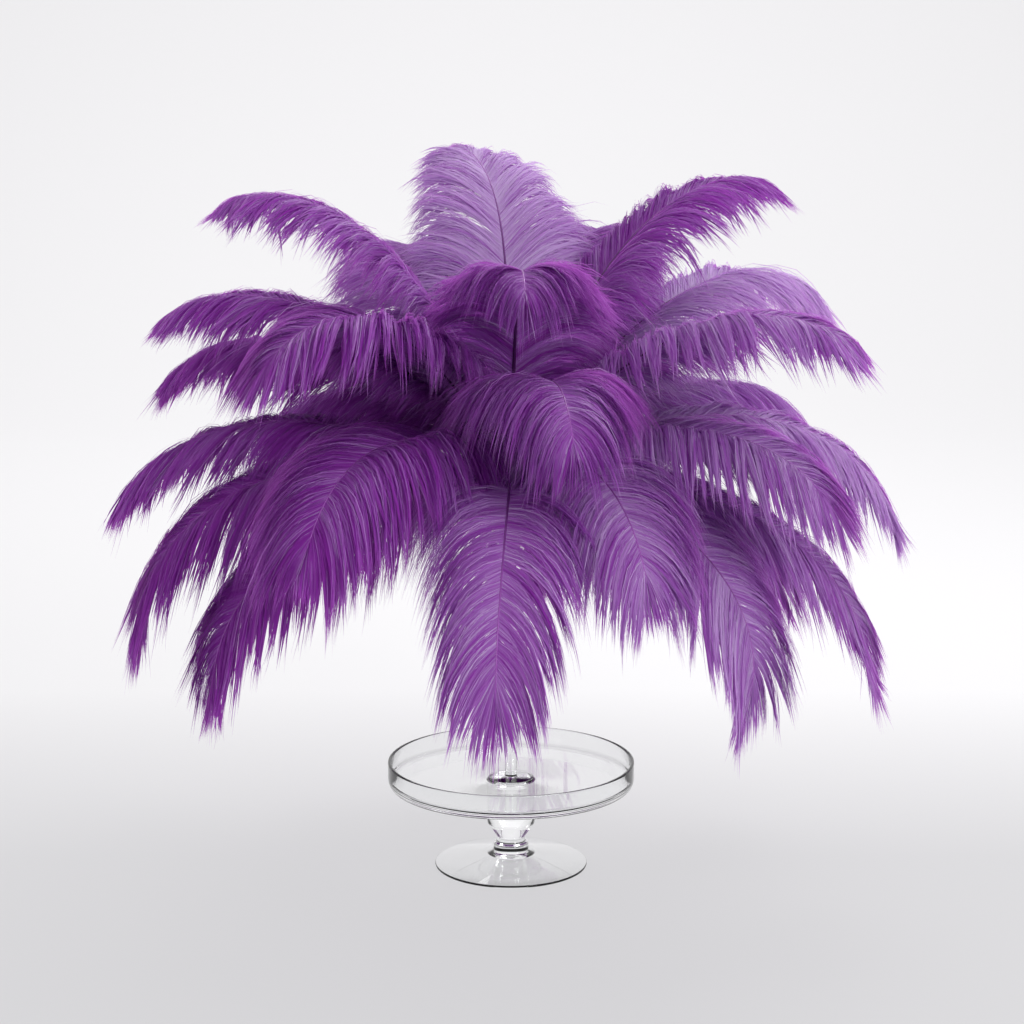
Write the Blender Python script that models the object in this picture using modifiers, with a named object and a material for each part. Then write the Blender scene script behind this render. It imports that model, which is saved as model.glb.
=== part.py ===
"""A dome of dyed ostrich plumes in a foam ball, on a clear glass vase and a footed cake stand.

Metres, +Z up. The origin is the bottom centre of the stand's foot, and the front faces -Y.
Each plume is one solid: a quill with a vane on either side, whose outer edge parts into locks.
"""

from dataclasses import dataclass
from math import cos, pi, radians, sin, sqrt

import bmesh
import bpy
import numpy as np
from mathutils import Matrix, Vector
from mathutils.bvhtree import BVHTree

GAP = 0.0003  # between pieces that touch
MERGE_DISTANCE = 0.00005
SMOOTH_ANGLE = radians(40)

# Cake stand: one turned piece of glass, with heights from the bottom of its foot
STAND_STEPS = 32
RIM_HEIGHT = 0.110
PLATE_RADIUS = 0.125
WALL = 0.0040
FLOOR_HEIGHT = 0.0910
UNDERSIDE_HEIGHT = 0.0845
PLATE_CORNER = 0.0075
STEM_RADIUS = 0.0240
STEM_SHOULDER_HEIGHT = 0.044
NECK_RADIUS = 0.0130
NECK_HEIGHT = 0.0260
COLLAR_RADIUS = 0.0180
COLLAR_TOP_HEIGHT = 0.0230
COLLAR_BOTTOM_HEIGHT = 0.0160
FOOT_TOP_RADIUS = 0.0230
FOOT_TOP_HEIGHT = 0.0140
FOOT_RADIUS = 0.0775
FOOT_EDGE = 0.0030

# Foam ball that the quills are pushed into
BALL_RADIUS = 0.050
BALL_HEIGHT = 0.415
BALL_SEGMENTS = 20
BALL_RINGS = 12
SOCKET_RADIUS = 0.0036
SOCKET_SIDES = 6
SOCKET_DEPTH = 0.0140

# Vase: one turned piece with a solid stem and a hollow trumpet, whose mouth carries the ball
VASE_STEPS = 20
VASE_FOOT_RADIUS = 0.0230
VASE_FOOT_EDGE = 0.0025
VASE_STEM_RADIUS = 0.0060
VASE_STEM_FOOT = 0.016
VASE_STEM_TOP = 0.185
HOLLOW_FLOOR = 0.200
HOLLOW_FLOOR_RADIUS = 0.0060
VASE_WALL = 0.0025
MOUTH_RADIUS = 0.0290  # to the inside of the wall
TRUMPET_POINTS = 6
TRUMPET_POWER = 2.0
SEAT_GAP = 0.0006  # from the mouth's inner edge to the ball

# Quill
QUILL_THICKNESS = 0.0044
QUILL_TIP_THICKNESS = 0.0022
ROOT_DEPTH = 0.0120
BEND_POWER = 2.2  # a quill is stiff near its root and limp near its tip
QUILL_STEPS = 60

# Vanes: shares run from 0 at the ball or the quill to 1 at the plume's tip or the barb's tip
VANE_THICKNESS = 0.0015
BARE_SHARE = 0.10
FIRST_LOCK_SHARE = 0.23
LAST_LOCK_SHARE = 0.88
LOCKS_A_SIDE = 5
LOCK_SHARES = (0.50, 1.00)  # middle and tip of a lock
NOTCH_SHARES = (0.40, 0.66)  # middle and edge of the vane between two locks
TIP_HALF_WIDTH = 0.0040
BARB_STEPS = 12

# The barbs leave the quill up to a share of it, and these tables run from 0 at the ball to 1 there
LAST_BARB_SHARE = 0.93
LEAN_ALONG_BARBS = ((0.0, 70), (0.15, 60), (0.50, 54), (0.80, 45), (0.94, 36), (1.0, 0))  # degrees
REACH_ALONG_BARBS = (
    (0.0, 0.60), (0.12, 0.95), (0.28, 1.20), (0.50, 1.08),
    (0.70, 0.95), (0.86, 0.75), (0.94, 0.57), (1.0, 0.36),
)
LIFT_ALONG_BARBS = ((0.0, 0.42), (0.30, 0.30), (1.0, 0.18))
BARB_SAG = 3.4  # a barb that leaves level bends down more than one that leaves upright
BARB_SAG_POWER = 1.6
BARB_SWING = 0.012  # of a barb's tip, toward the plume's tip

# Locks are shortened until they hang clear of what is already in place
CLEARANCE_LAYERS = (-0.0030, -0.0015, 0.0, 0.0015, 0.0030)
TIP_CLEARANCE = 0.004
QUILL_CLEARANCE = 0.0042
TRIM = 0.88
TRIM_ROUNDS = 30

COLUMNS = 5
CENTRE_COLUMN = COLUMNS // 2
LEFT, RIGHT = -1, 1
UP = Vector((0.0, 0.0, 1.0))


@dataclass(frozen=True)
class Plume:
    """How one plume leaves the ball and bends; angles in degrees, azimuth 0 is the front."""

    name: str
    azimuth: float
    rise: float
    droop: float
    sweep: float
    length: float
    reach: float


# From the front and the outside in, so that the plumes in sight keep their full locks
PLUMES = (
    Plume("plume_low_front", 0, 7, 117, -12, 0.450, 0.130),
    Plume("plume_low_front_left", -55, -7, 91, -16, 0.380, 0.125),
    Plume("plume_low_front_right", 45, -5, 114, 16, 0.375, 0.130),
    Plume("plume_side_front", 20, 12, 95, 5, 0.340, 0.135),
    Plume("plume_side_front_left", -30, 17, 90, 7, 0.375, 0.145),
    Plume("plume_side_front_right", 55, 17, 70, -13, 0.350, 0.125),
    Plume("plume_mid_front", 10, 34, 101, -3, 0.350, 0.120),
    Plume("plume_mid_front_left", -45, 48, 113, -8, 0.340, 0.130),
    Plume("plume_mid_front_right", 54, 40, 76, 12, 0.385, 0.115),
    Plume("plume_top_front", 4, 68, 130, -2, 0.310, 0.105),
    Plume("plume_low_left", -76, 3, 101, -11, 0.405, 0.150),
    Plume("plume_low_right", 82, -7, 86, -8, 0.405, 0.125),
    Plume("plume_side_left", -96, 12, 77, -12, 0.395, 0.115),
    Plume("plume_side_right", 88, 16, 100, -6, 0.390, 0.120),
    Plume("plume_top_left", -85, 64, 79, -2, 0.365, 0.115),
    Plume("plume_top_right", 110, 65, 83, 8, 0.385, 0.110),
    Plume("plume_mid_left", -95, 42, 78, -13, 0.360, 0.115),
    Plume("plume_mid_back_right", 121, 43, 87, 6, 0.400, 0.130),
    Plume("plume_mid_back_left", -117, 28, 78, 0, 0.400, 0.115),
    Plume("plume_side_back_right", 131, 17, 60, -3, 0.370, 0.115),
    Plume("plume_top_back", 182, 64, 55, 30, 0.370, 0.120),
    Plume("plume_top_back_left", -160, 48, 86, 16, 0.385, 0.155),
    Plume("plume_top_back_right", 158, 58, 100, -2, 0.360, 0.130),
    Plume("plume_low_back_right", 125, -8, 80, 0, 0.390, 0.130),
    Plume("plume_low_back_left", -130, -8, 80, 0, 0.390, 0.130),
    Plume("plume_low_back", 175, -12, 75, 0, 0.360, 0.130),
    Plume("plume_side_back_left", -142, 14, 80, 0, 0.400, 0.130),
    Plume("plume_side_back", 165, 10, 80, 0, 0.375, 0.130),
    Plume("plume_mid_back", 180, 36, 85, 0, 0.385, 0.135),
)


def clear_scene():
    for obj in list(bpy.data.objects):
        bpy.data.objects.remove(obj, do_unlink=True)


def new_collection(name):
    collection = bpy.data.collections.new(name)
    bpy.context.scene.collection.children.link(collection)
    return collection


def new_material(name, colour, roughness, transmission=0.0, ior=1.5):
    material = bpy.data.materials.new(name)
    material.use_nodes = True
    shader = material.node_tree.nodes["Principled BSDF"]
    shader.inputs["Base Color"].default_value = (*colour, 1.0)
    shader.inputs["Roughness"].default_value = roughness
    shader.inputs["Transmission Weight"].default_value = transmission
    shader.inputs["IOR"].default_value = ior
    return material


def add_object(name, mesh, collection, material=None, parent=None, location=(0.0, 0.0, 0.0)):
    """Link a mesh as a smooth-shaded object."""
    mesh.shade_smooth()
    mesh.set_sharp_from_angle(angle=SMOOTH_ANGLE)
    if material:
        mesh.materials.append(material)
    obj = bpy.data.objects.new(name, mesh)
    obj.parent = parent
    obj.location = location
    collection.objects.link(obj)
    return obj


def arc(centre, radius, start, end, steps):
    """Points (radius from the axis, height) along an arc between two angles in degrees."""
    angles = [radians(start + (end - start) * step / steps) for step in range(steps + 1)]
    return [(centre[0] + radius * cos(angle), centre[1] + radius * sin(angle)) for angle in angles]


def turned_mesh(name, profile):
    """A profile in the XZ plane, listed from the axis at the top, down its outer side."""
    mesh = bpy.data.meshes.new(name)
    edges = [(index, index + 1) for index in range(len(profile) - 1)]
    mesh.from_pydata([(radius, 0.0, height) for radius, height in profile], edges, [])
    return mesh


def add_turning(obj, steps):
    screw = obj.modifiers.new("turning", "SCREW")
    screw.steps = screw.render_steps = steps
    screw.use_merge_vertices = True
    screw.merge_threshold = MERGE_DISTANCE


def stand_profile():
    """Dish with an upright wall, thick stem, narrow neck, collar and a broad low foot."""
    rim_radius = WALL / 2
    rim_centre = (PLATE_RADIUS - rim_radius, RIM_HEIGHT - rim_radius)
    inner_corner_radius = PLATE_CORNER - WALL
    inner_radius = PLATE_RADIUS - WALL
    inner_centre = (inner_radius - inner_corner_radius, FLOOR_HEIGHT + inner_corner_radius)
    outer_centre = (PLATE_RADIUS - PLATE_CORNER, UNDERSIDE_HEIGHT + PLATE_CORNER)
    foot = [(FOOT_TOP_RADIUS, FOOT_TOP_HEIGHT), (FOOT_RADIUS, FOOT_EDGE), (FOOT_RADIUS, 0.0)]
    return (
        [(0.0, FLOOR_HEIGHT)]
        + arc(inner_centre, inner_corner_radius, -90, 0, 2)
        + arc(rim_centre, rim_radius, 180, 0, 3)
        + arc(outer_centre, PLATE_CORNER, 0, -90, 3)
        + [(STEM_RADIUS, UNDERSIDE_HEIGHT), (STEM_RADIUS, STEM_SHOULDER_HEIGHT)]
        + [(NECK_RADIUS, NECK_HEIGHT), (COLLAR_RADIUS, COLLAR_TOP_HEIGHT)]
        + [(COLLAR_RADIUS, COLLAR_BOTTOM_HEIGHT)]
        + foot
        + [(0.0, 0.0)]
    )


def mouth_height():
    """Height of the mouth's inner edge over the vase's base, where the ball rests on it."""
    ball_over_mouth = sqrt((BALL_RADIUS + SEAT_GAP) ** 2 - MOUTH_RADIUS**2)
    return BALL_HEIGHT - ball_over_mouth - (FLOOR_HEIGHT + GAP)


def trumpet_radius(height):
    """Inner radius of the trumpet, which opens ever faster toward its mouth."""
    share = (height - HOLLOW_FLOOR) / (mouth_height() - HOLLOW_FLOOR)
    return HOLLOW_FLOOR_RADIUS + (MOUTH_RADIUS - HOLLOW_FLOOR_RADIUS) * share**TRUMPET_POWER


def vase_profile():
    """Round foot, slim solid stem and a hollow trumpet."""
    top = mouth_height()
    heights = np.linspace(HOLLOW_FLOOR, top, TRUMPET_POINTS)
    inside = [(trumpet_radius(height), height) for height in heights]
    outside = [(radius + VASE_WALL, height) for radius, height in reversed(inside)]
    return (
        [(0.0, HOLLOW_FLOOR)]
        + inside
        + outside
        + [(VASE_STEM_RADIUS, VASE_STEM_TOP), (VASE_STEM_RADIUS, VASE_STEM_FOOT)]
        + [(VASE_FOOT_RADIUS, VASE_FOOT_EDGE), (VASE_FOOT_RADIUS, 0.0), (0.0, 0.0)]
    )


def heading(azimuth, elevation):
    """Unit direction; azimuth 0 is the front, -Y, and 90 is +X."""
    turn, climb = radians(azimuth), radians(elevation)
    return Vector((sin(turn) * cos(climb), -cos(turn) * cos(climb), sin(climb)))


def along(table, share):
    """Value for the barb that leaves at a share of the quill, between the points of a table."""
    shares, values = zip(*table)
    return float(np.interp(share / LAST_BARB_SHARE, shares, values))


class Quill:
    """The bent middle line of a plume, from the ball's centre, and the barbs that leave it."""

    def __init__(self, plume):
        self.plume = plume
        step = plume.length / QUILL_STEPS
        self.points = [BALL_RADIUS * self.ahead(0.0)]
        for index in range(QUILL_STEPS):
            self.points.append(self.points[-1] + step * self.ahead((index + 0.5) / QUILL_STEPS))

    def bend(self, share):
        """Azimuth and elevation of the quill, in degrees."""
        grown = share**BEND_POWER
        return self.plume.azimuth + self.plume.sweep * grown, self.plume.rise - self.plume.droop * grown

    def ahead(self, share):
        return heading(*self.bend(share))

    def side(self, share):
        turn = radians(self.bend(share)[0])
        return Vector((cos(turn), sin(turn), 0.0))

    def above(self, share):
        return self.ahead(share).cross(self.side(share))

    def point(self, share):
        place = share * QUILL_STEPS
        index = min(int(place), QUILL_STEPS - 1)
        return self.points[index].lerp(self.points[index + 1], place - index)

    def barb_length(self, share):
        return self.plume.reach * along(REACH_ALONG_BARBS, share)

    def barb_point(self, share, side, barb_share):
        """Point of the barb that leaves the quill at a share, on the left or the right."""
        lean = radians(along(LEAN_ALONG_BARBS, share))
        start = cos(lean) * self.ahead(share) + side * sin(lean) * self.side(share)
        start += along(LIFT_ALONG_BARBS, share) * UP
        weight = BARB_SAG * (start.xy.length / start.length) ** 2
        step = self.barb_length(share) * barb_share / BARB_STEPS
        point = self.point(share)
        for index in range(BARB_STEPS):
            sag = weight * (barb_share * (index + 0.5) / BARB_STEPS) ** BARB_SAG_POWER
            point = point + step * (start - sag * UP).normalized()
        return point + BARB_SWING * barb_share**2 * self.ahead(share)


def vane_stations():
    """Shares of the quill where a row of the vane starts, and whether a lock grows there."""
    count = 2 * LOCKS_A_SIDE - 1
    shares = np.linspace(FIRST_LOCK_SHARE, LAST_LOCK_SHARE, count)
    return [(float(share), index % 2 == 0) for index, share in enumerate(shares)]


def bare_row(centre, side, half_width):
    """Points across a stretch of the plume that has no barbs."""
    offsets = np.linspace(-half_width, half_width, COLUMNS)
    return [centre + float(offset) * side for offset in offsets]


def vane_row(quill, share, is_lock, lengths, extra):
    """Points across both vanes; lengths trims each side, and extra lengthens it, in metres."""
    middle_share, edge_share = LOCK_SHARES if is_lock else NOTCH_SHARES
    row = [quill.point(share)] * COLUMNS
    for side, kept in zip((LEFT, RIGHT), lengths):
        longer = extra / quill.barb_length(share)
        row[CENTRE_COLUMN + side] = quill.barb_point(share, side, middle_share * kept)
        row[CENTRE_COLUMN + 2 * side] = quill.barb_point(share, side, edge_share * kept + longer)
    return row


def sheet_rows(quill, kept_lengths, extra=0.0):
    """Rows of points across the plume, from its root in the ball to its tip."""
    side = quill.side(0.0)
    half_quill = QUILL_THICKNESS / 2
    root = (BALL_RADIUS - ROOT_DEPTH) * quill.ahead(0.0)
    rows = [bare_row(root, side, half_quill), bare_row(quill.point(BARE_SHARE), side, half_quill)]
    for (share, is_lock), lengths in zip(vane_stations(), kept_lengths):
        rows.append(vane_row(quill, share, is_lock, lengths, extra))
    rows.append(bare_row(quill.point(1.0), quill.side(1.0), TIP_HALF_WIDTH))
    return rows


def vane_quads(row_count):
    """Corner indices of each vane quad, with its row and its side; the bare quill is left out."""
    quads = []
    for row in range(1, row_count - 1):
        for column in range(COLUMNS - 1):
            corner = row * COLUMNS + column
            side = LEFT if column < CENTRE_COLUMN else RIGHT
            quads.append(((corner, corner + 1, corner + COLUMNS + 1, corner + COLUMNS), row, side))
    return quads


def row_normals(rows):
    """A normal for each point, from its neighbours along and across the sheet."""
    grid = np.array([[tuple(point) for point in row] for row in rows])
    across = np.gradient(grid, axis=1)
    lengthwise = np.gradient(grid, axis=0)
    normals = np.cross(across, lengthwise)
    return grid, normals / np.linalg.norm(normals, axis=2, keepdims=True)


def clashing_locks(quill, kept_lengths, obstacles):
    """Vane stations, with their side, whose padded sheet runs into an obstacle."""
    grid, normals = row_normals(sheet_rows(quill, kept_lengths, TIP_CLEARANCE))
    quads = vane_quads(len(grid))
    faces = [corners for corners, _, _ in quads]
    clashes = set()
    for layer in CLEARANCE_LAYERS:
        points = (grid + layer * normals).reshape(-1, 3)
        tree = BVHTree.FromPolygons(points.tolist(), faces)
        for obstacle in obstacles:
            for face, _ in tree.overlap(obstacle):
                _, row, side = quads[face]
                clashes.update(((row - 2, side), (row - 1, side)))
    return {(station, side) for station, side in clashes if 0 <= station < len(kept_lengths)}


def trimmed_lengths(quill, obstacles):
    """Share of each lock that is kept, as (left, right) for each vane station."""
    kept = [[1.0, 1.0] for _ in vane_stations()]
    for _ in range(TRIM_ROUNDS):
        clashes = clashing_locks(quill, kept, obstacles)
        if not clashes:
            break
        for station, side in clashes:
            kept[station][0 if side == LEFT else 1] *= TRIM
    return kept


def sheet_tree(rows):
    """Search tree of a placed plume's sheet."""
    points = [tuple(point) for row in rows for point in row]
    return BVHTree.FromPolygons(points, [corners for corners, _, _ in vane_quads(len(rows))])


def quill_tree(quill):
    """Search tree of a square sleeve round a quill, which every other plume keeps out of."""
    corners = ((-1, -1), (1, -1), (1, 1), (-1, 1))
    count = len(corners)
    points = []
    for index in range(QUILL_STEPS + 1):
        share = index / QUILL_STEPS
        side, above = quill.side(share), quill.above(share)
        for across, up in corners:
            points.append(quill.point(share) + QUILL_CLEARANCE * (across * side + up * above))
    faces = []
    for ring in range(QUILL_STEPS):
        for turn in range(count):
            low, after = ring * count + turn, ring * count + (turn + 1) % count
            faces.append((low, after, after + count, low + count))
    return BVHTree.FromPolygons(points, faces)


def placed_tree(obj, hub):
    """Search tree of a finished object, seen from the ball's centre."""
    evaluated = obj.evaluated_get(bpy.context.evaluated_depsgraph_get())
    place = hub.matrix_world.inverted() @ obj.matrix_world
    points = [place @ vertex.co for vertex in evaluated.data.vertices]
    return BVHTree.FromPolygons(points, [tuple(face.vertices) for face in evaluated.data.polygons])


def plume_mesh(name, rows):
    """A grid bent to the rows of a plume."""
    last_column, last_row = COLUMNS - 1, len(rows) - 1
    shape = bmesh.new()
    bmesh.ops.create_grid(shape, x_segments=last_column, y_segments=last_row, size=1.0)
    for vertex in shape.verts:
        column = round((vertex.co.x + 1) / 2 * last_column)
        row = round((vertex.co.y + 1) / 2 * last_row)
        vertex.co = rows[row][column]
    mesh = bpy.data.meshes.new(name)
    shape.to_mesh(mesh)
    shape.free()
    return mesh


def thickness_share(row, column, last_row):
    """Share of the quill's thickness; the quill tapers, and beside it the vane is thin."""
    if row < 2:
        return 1.0
    if column != CENTRE_COLUMN:
        return VANE_THICKNESS / QUILL_THICKNESS
    taper = row / last_row
    return 1.0 + taper * (QUILL_TIP_THICKNESS / QUILL_THICKNESS - 1.0)


def add_plume(plume, rows, collection, material, hub):
    obj = add_object(plume.name, plume_mesh(plume.name, rows), collection, material, hub)
    group = obj.vertex_groups.new(name="thickness")
    corner_of = {tuple(round(value, 6) for value in point): (row, column)
                 for row, points in enumerate(rows) for column, point in enumerate(points)}
    for vertex in obj.data.vertices:
        row, column = corner_of[tuple(round(value, 6) for value in vertex.co)]
        group.add([vertex.index], thickness_share(row, column, len(rows) - 1), "REPLACE")
    solidify = obj.modifiers.new("thickness", "SOLIDIFY")
    solidify.thickness = QUILL_THICKNESS
    solidify.offset = 0.0
    solidify.vertex_group = group.name
    return obj


def add_ball(collection, cutters, material, hub):
    """Foam ball with a radial socket for each quill."""
    shape = bmesh.new()
    bmesh.ops.create_uvsphere(shape, u_segments=BALL_SEGMENTS, v_segments=BALL_RINGS, radius=BALL_RADIUS)
    mesh = bpy.data.meshes.new("foam_ball")
    shape.to_mesh(mesh)
    shape.free()
    ball = add_object("foam_ball", mesh, collection, material, hub)
    boolean = ball.modifiers.new("sockets", "BOOLEAN")
    boolean.operation = "DIFFERENCE"
    boolean.object = add_socket_cutter(cutters, hub)
    return ball


def add_socket_cutter(cutters, hub):
    """One short rod for each quill, pointing at the ball's centre."""
    shape = bmesh.new()
    depth = 2 * SOCKET_DEPTH
    for plume in PLUMES:
        outward = heading(plume.azimuth, plume.rise)
        turn = outward.to_track_quat("Z", "Y").to_matrix().to_4x4()
        place = Matrix.Translation(BALL_RADIUS * outward) @ turn
        bmesh.ops.create_cone(shape, cap_ends=True, segments=SOCKET_SIDES, radius1=SOCKET_RADIUS,
                              radius2=SOCKET_RADIUS, depth=depth, matrix=place)
    mesh = bpy.data.meshes.new("socket_cutter")
    shape.to_mesh(mesh)
    shape.free()
    cutter = add_object("socket_cutter", mesh, cutters, parent=hub)
    cutter.hide_render = True
    cutter.display_type = "WIRE"
    return cutter


def add_plumes(collection, material, hub, placed):
    """Add every plume, each with its locks trimmed clear of the ones before it."""
    quills = [Quill(plume) for plume in PLUMES]
    sleeves = [quill_tree(quill) for quill in quills]
    for index, quill in enumerate(quills):
        others = sleeves[:index] + sleeves[index + 1:]
        rows = sheet_rows(quill, trimmed_lengths(quill, placed + others))
        add_plume(quill.plume, rows, collection, material, hub)
        placed.append(sheet_tree(rows))


def main():
    clear_scene()
    collection = new_collection("ostrich_plume_centrepiece")
    cutters = new_collection("cutters")
    glass = new_material("clear_glass", (0.93, 0.96, 0.95), 0.03, transmission=1.0)
    foam = new_material("purple_foam", (0.045, 0.010, 0.080), 0.9)
    dyed_plume = new_material("purple_plume", (0.190, 0.045, 0.300), 0.75)

    stand = add_object("glass_cake_stand", turned_mesh("glass_cake_stand", stand_profile()),
                       collection, glass)
    add_turning(stand, STAND_STEPS)
    vase = add_object("glass_vase", turned_mesh("glass_vase", vase_profile()), collection, glass,
                      location=(0.0, 0.0, FLOOR_HEIGHT + GAP))
    add_turning(vase, VASE_STEPS)

    hub = bpy.data.objects.new("bouquet", None)
    hub.location = (0.0, 0.0, BALL_HEIGHT)
    collection.objects.link(hub)
    add_ball(collection, cutters, foam, hub)
    bpy.context.view_layer.update()
    add_plumes(collection, dyed_plume, hub, [placed_tree(stand, hub), placed_tree(vase, hub)])


if __name__ == "__main__":
    main()
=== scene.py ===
"""Looks of a dome of dyed ostrich plumes on a clear glass vase and a footed cake stand.

Every plume's barbs are grown as joined ribbons along the same curves as the plume's solid, and the
turned glass is spun again at a finer step. Metres, +Z up, and the front faces -Y.
"""

from __future__ import annotations

import logging
import math
from dataclasses import dataclass, replace
from enum import Enum
from typing import Any, Sequence

import bmesh
import bpy
import numpy as np
from mathutils import Matrix, Vector

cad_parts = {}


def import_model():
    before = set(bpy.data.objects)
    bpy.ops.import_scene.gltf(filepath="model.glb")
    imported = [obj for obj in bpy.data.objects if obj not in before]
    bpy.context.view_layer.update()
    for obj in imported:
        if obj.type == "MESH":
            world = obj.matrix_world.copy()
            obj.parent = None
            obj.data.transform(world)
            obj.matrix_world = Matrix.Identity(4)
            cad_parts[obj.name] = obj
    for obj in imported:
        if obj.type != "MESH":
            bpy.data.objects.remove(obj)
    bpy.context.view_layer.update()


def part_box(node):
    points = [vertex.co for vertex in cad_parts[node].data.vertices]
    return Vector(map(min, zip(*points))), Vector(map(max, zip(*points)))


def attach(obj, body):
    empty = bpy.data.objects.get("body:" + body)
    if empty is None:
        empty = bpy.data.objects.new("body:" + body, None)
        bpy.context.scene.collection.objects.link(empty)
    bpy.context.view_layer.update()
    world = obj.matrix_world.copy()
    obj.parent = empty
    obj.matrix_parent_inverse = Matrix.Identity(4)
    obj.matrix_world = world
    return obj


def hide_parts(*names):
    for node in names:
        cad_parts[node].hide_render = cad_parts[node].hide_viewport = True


LOG = logging.getLogger("plume_centrepiece")
MM = 0.001
BODY = "root"
TINY = 1e-6
MERGE_DISTANCE = 0.01 * MM
GLASS_SHARP_ANGLE = math.radians(50)
QUILL_SHARP_ANGLE = math.radians(60)

Colour = tuple[float, float, float]
Stops = Sequence[tuple[float, Colour]]
Profile = list[tuple[float, float]]
Span = tuple[float, float]
Table = tuple[Span, ...]
Point = tuple[float, float, float]
Corner = tuple[float, float, float]


class Vane(Enum):
    """The two vanes of a plume, as the sign of the direction in which their barbs leave."""

    LEFT = -1
    RIGHT = 1


class Slot(Enum):
    """Names of material slots."""

    GLASS = "clear_glass"
    FOAM = "purple_foam"
    PLUME = "purple_plume"


# ---------------------------------------------------------------- shader maths


class Signal:
    """A shader socket that can stand in Python expressions."""

    def __init__(self, shader: "Shader", socket: bpy.types.NodeSocket) -> None:
        """Wrap one output socket of a shader's node."""
        self.shader = shader
        self.socket = socket

    def _maths(self, operation: str, first: "Signal | float", second: "Signal | float") -> "Signal":
        """Add a Math node.

        Args:
            operation: The Math node's operation.
            first: First value or signal.
            second: Second value or signal.

        Returns:
            The node's result.
        """
        return self.shader.add("ShaderNodeMath", {"operation": operation}, {0: first, 1: second})

    def __add__(self, other: "Signal | float") -> "Signal":
        """Sum of this and another."""
        return self._maths("ADD", self, other)

    def __radd__(self, other: float) -> "Signal":
        """Sum of a number and this."""
        return self._maths("ADD", other, self)

    def __sub__(self, other: "Signal | float") -> "Signal":
        """This less another."""
        return self._maths("SUBTRACT", self, other)

    def __rsub__(self, other: float) -> "Signal":
        """A number less this."""
        return self._maths("SUBTRACT", other, self)

    def __mul__(self, other: "Signal | float") -> "Signal":
        """This times another."""
        return self._maths("MULTIPLY", self, other)

    def __rmul__(self, other: float) -> "Signal":
        """A number times this."""
        return self._maths("MULTIPLY", other, self)


class Shader:
    """A material's node tree and the one method that adds nodes to it."""

    def __init__(self, name: str) -> None:
        """Start an empty material.

        Args:
            name: The material's name.
        """
        self.material = bpy.data.materials.new(name)
        self.material.use_nodes = True
        self.tree = self.material.node_tree
        self.tree.nodes.clear()

    def add(
        self,
        kind: str,
        settings: dict[str, Any] | None = None,
        inputs: dict[str | int, Any] | None = None,
        output: str | int = 0,
    ) -> Signal:
        """Add any node.

        Args:
            kind: The node's type.
            settings: Its properties, and a ramp's stops under "stops".
            inputs: Values or signals for its sockets, by name or index.
            output: The output to hand back, by name or index.

        Returns:
            That output as a signal.
        """
        node = self.tree.nodes.new(kind)
        for key, value in (settings or {}).items():
            if key == "stops":
                self._set_stops(node.color_ramp, value)
            else:
                setattr(node, key, value)
        for key, value in (inputs or {}).items():
            if isinstance(value, Signal):
                self.tree.links.new(value.socket, node.inputs[key])
            else:
                node.inputs[key].default_value = value
        return Signal(self, node.outputs[output])

    @staticmethod
    def _set_stops(ramp: bpy.types.ColorRamp, stops: Stops) -> None:
        """Give a colour ramp its stops.

        Args:
            ramp: The ramp.
            stops: Place and colour of each stop.
        """
        while len(ramp.elements) < len(stops):
            ramp.elements.new(1.0)
        for element, (place, colour) in zip(ramp.elements, stops):
            element.position = place
            element.color = (*colour, 1.0)

    def attribute(self, name: str) -> Signal:
        """Number stored on the mesh under that name."""
        return self.add("ShaderNodeAttribute", {"attribute_name": name}, output="Fac")

    def place(self) -> Signal:
        """Place on the object, in metres."""
        return self.add("ShaderNodeTexCoord", output="Object")

    def noise(self, scale: float) -> Signal:
        """Noise over the object, as a value about 0.5, with that many features in a metre."""
        return self.add("ShaderNodeTexNoise", inputs={"Vector": self.place(), "Scale": scale})

    def ramp(self, stops: Stops, place: Signal) -> Signal:
        """Colour at a place on a ramp."""
        return self.add("ShaderNodeValToRGB", {"stops": stops}, {"Fac": place})

    def surface(self, inputs: dict[str | int, Any]) -> Signal:
        """Principled surface with those inputs."""
        return self.add("ShaderNodeBsdfPrincipled", inputs=inputs)

    def finish(self, surface: Signal) -> bpy.types.Material:
        """Link the surface to the output.

        Args:
            surface: The finished surface.

        Returns:
            The material.
        """
        output = self.tree.nodes.new("ShaderNodeOutputMaterial")
        self.tree.links.new(surface.socket, output.inputs["Surface"])
        return self.material


# ---------------------------------------------------------------- finishes


@dataclass(frozen=True)
class BarbDyeAndPaintedLightFinish:
    """Silky dyed barbs that let some light through, from deep to bright by each strand's tone, which
    also carries each plume's painted light and shade.
    """

    name: str = "dyed_barbs_and_painted_light"
    tones: Stops = (
        (0.0, (0.165, 0.004, 0.230)),
        (0.35, (0.270, 0.034, 0.370)),
        (0.65, (0.415, 0.200, 0.540)),
        (1.0, (0.675, 0.540, 0.790)),
    )
    through: Colour = (0.72, 0.19, 0.83)
    through_share: float = 0.42
    roughness: float = 0.42
    specular: float = 0.12
    dye_scale: float = 22.0
    dye_depth: float = 0.20

    def material(self) -> bpy.types.Material:
        """Colour the barbs by the tone stored on each strand, dye with each plume's painted light and
        shade, unevenly over the object.

        Returns:
            The material.
        """
        shader = Shader(self.name)
        dye = (shader.noise(self.dye_scale) - 0.5) * self.dye_depth
        barb = shader.surface(
            {
                # The tone holds each plume's painted light and shade besides the random dye.
                "Base Color": shader.ramp(self.tones, shader.attribute("tone") + dye),
                "Roughness": self.roughness,
                "Specular IOR Level": self.specular,
            }
        )
        glow = shader.add("ShaderNodeBsdfTranslucent", inputs={"Color": (*self.through, 1.0)})
        mixed = shader.add("ShaderNodeMixShader", inputs={0: self.through_share, 1: barb, 2: glow})
        return shader.finish(mixed)


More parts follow.
